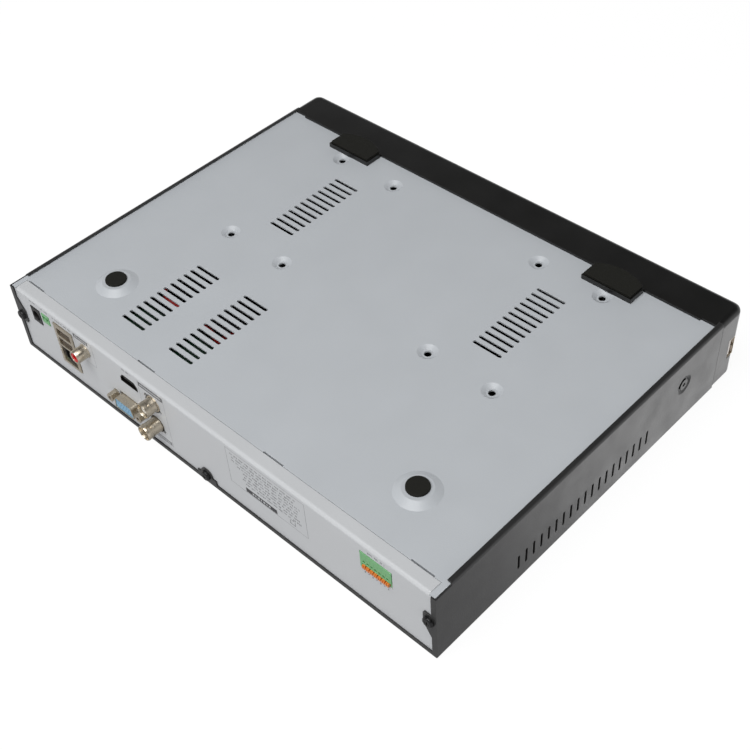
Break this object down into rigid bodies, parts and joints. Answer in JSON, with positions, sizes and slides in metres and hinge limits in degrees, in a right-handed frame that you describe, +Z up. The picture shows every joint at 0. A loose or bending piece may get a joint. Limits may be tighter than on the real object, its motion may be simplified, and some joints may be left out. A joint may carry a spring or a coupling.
{
  "type": "video recorder",
  "caption": "Low flat desktop video recorder: steel chassis with drive bays, black cover and bezel, rear connector panel with sprung wire terminal.",
  "frame": {"origin": "under the middle of the case, on the surface its feet stand on", "axes": "+Z up, +Y towards the rear connector panel, +X to the right seen from the front"},
  "size_m": [0.33, 0.2624, 0.0523],
  "materials": {
    "chassis_steel": "satin light grey galvanised sheet",
    "panel_steel": "satin light grey sheet with dark printed marks",
    "cover_paint": "fine-textured semi-gloss black paint",
    "bezel_plastic": "fine-grained black moulding",
    "fascia_gloss": "polished black",
    "smoked_window": "smoked, passes infrared",
    "clear_guide": "clear moulded light guides",
    "circuit_board": "green solder mask on glass-fibre laminate",
    "black_component": "moulded epoxy",
    "zinc_screw": "zinc plated",
    "connector_nickel": "dull nickel plate",
    "tongue_white": "moulded",
    "tongue_beige": "moulded",
    "foot_rubber": "dark brown-black rubber",
    "black_screw": "black oxide steel",
    "brass_post": "turned brass",
    "black_connector": "moulded nylon",
    "contact_metal": "nickel plated",
    "terminal_green": "green nylon",
    "insulator_red": "red nylon",
    "black_metal": "blackened shell",
    "insulator_blue": "blue nylon",
    "insulator_white": "white fluoropolymer",
    "sink_aluminium": "extruded",
    "can_aluminium": "sleeved can",
    "coil_grey": "ferrite",
    "cell_steel": "nickel plated",
    "socket_cream": "moulded nylon",
    "lead_red": "red PVC jacket",
    "lead_black": "black PVC sleeve",
    "lead_grey": "grey PVC jacket",
    "lever_orange": "orange nylon"
  },
  "bodies": {
    "case": {"bottom_chassis": "chassis_steel", "rear_panel": "panel_steel", "top_cover": "cover_paint", "front_bezel": "bezel_plastic", "front_fascia": "fascia_gloss", "infrared_window": "smoked_window", "light_pipes": "clear_guide", "front_board": "circuit_board", "front_board_parts": "black_component", "front_board_screws": "zinc_screw", "side_usb_shell": "connector_nickel", "side_usb_tongue": "tongue_white", "front_foot_pads": "foot_rubber", "rear_feet": "foot_rubber", "cover_screws_rear": "black_screw", "cover_screws_side": "black_screw", "main_board": "circuit_board", "terminal_board": "circuit_board", "board_standoffs": "brass_post", "board_screws": "zinc_screw", "dc_jack_body": "black_connector", "dc_jack_pin": "contact_metal", "pair_terminal": "terminal_green", "port_stack_shell": "connector_nickel", "port_stack_tongues": "tongue_beige", "network_insert": "black_connector", "rca_shell": "connector_nickel", "rca_housing": "black_connector", "rca_insulator": "insulator_red", "hdmi_shell": "black_metal", "hdmi_core": "black_connector", "vga_shell": "connector_nickel", "vga_insert": "insulator_blue", "vga_base": "black_connector", "vga_jackscrews": "connector_nickel", "bnc_jacks": "connector_nickel", "bnc_cores": "insulator_white", "bnc_block": "black_connector", "terminal_body": "terminal_green", "heat_sink": "sink_aluminium", "board_chips": "black_component", "capacitors": "can_aluminium", "coils": "coil_grey", "coin_cell_holder": "black_connector", "coin_cell": "cell_steel", "board_sockets": "socket_cream", "drive_leads": "lead_red", "drive_power_lead": "lead_black", "drive_plugs": "black_connector", "front_lead": "lead_grey", "terminal_lead": "lead_grey", "lead_plugs": "socket_cream"},
    "lever_1": {"terminal_lever_1": "lever_orange"},
    "lever_2": {"terminal_lever_2": "lever_orange"},
    "lever_3": {"terminal_lever_3": "lever_orange"},
    "lever_4": {"terminal_lever_4": "lever_orange"},
    "lever_5": {"terminal_lever_5": "lever_orange"},
    "lever_6": {"terminal_lever_6": "lever_orange"},
    "lever_7": {"terminal_lever_7": "lever_orange"},
    "button": {"power_button": "fascia_gloss"}
  },
  "joints": [
    {"name": "lever_1_press", "type": "slide", "parent": "case", "child": "lever_1", "axis": [0, -1, 0], "range_m": [0, 0.0015], "stiffness_N_per_m": 400, "springref_m": -0.0005},
    {"name": "lever_2_press", "type": "slide", "parent": "case", "child": "lever_2", "axis": [0, -1, 0], "range_m": [0, 0.0015], "stiffness_N_per_m": 400, "springref_m": -0.0005},
    {"name": "lever_3_press", "type": "slide", "parent": "case", "child": "lever_3", "axis": [0, -1, 0], "range_m": [0, 0.0015], "stiffness_N_per_m": 400, "springref_m": -0.0005},
    {"name": "lever_4_press", "type": "slide", "parent": "case", "child": "lever_4", "axis": [0, -1, 0], "range_m": [0, 0.0015], "stiffness_N_per_m": 400, "springref_m": -0.0005},
    {"name": "lever_5_press", "type": "slide", "parent": "case", "child": "lever_5", "axis": [0, -1, 0], "range_m": [0, 0.0015], "stiffness_N_per_m": 400, "springref_m": -0.0005},
    {"name": "lever_6_press", "type": "slide", "parent": "case", "child": "lever_6", "axis": [0, -1, 0], "range_m": [0, 0.0015], "stiffness_N_per_m": 400, "springref_m": -0.0005},
    {"name": "lever_7_press", "type": "slide", "parent": "case", "child": "lever_7", "axis": [0, -1, 0], "range_m": [0, 0.0015], "stiffness_N_per_m": 400, "springref_m": -0.0005},
    {"name": "power_button_press", "type": "slide", "parent": "case", "child": "button", "axis": [0, 1, 0], "range_m": [0, 0.0008], "stiffness_N_per_m": 400, "springref_m": -0.0005}
  ]
}
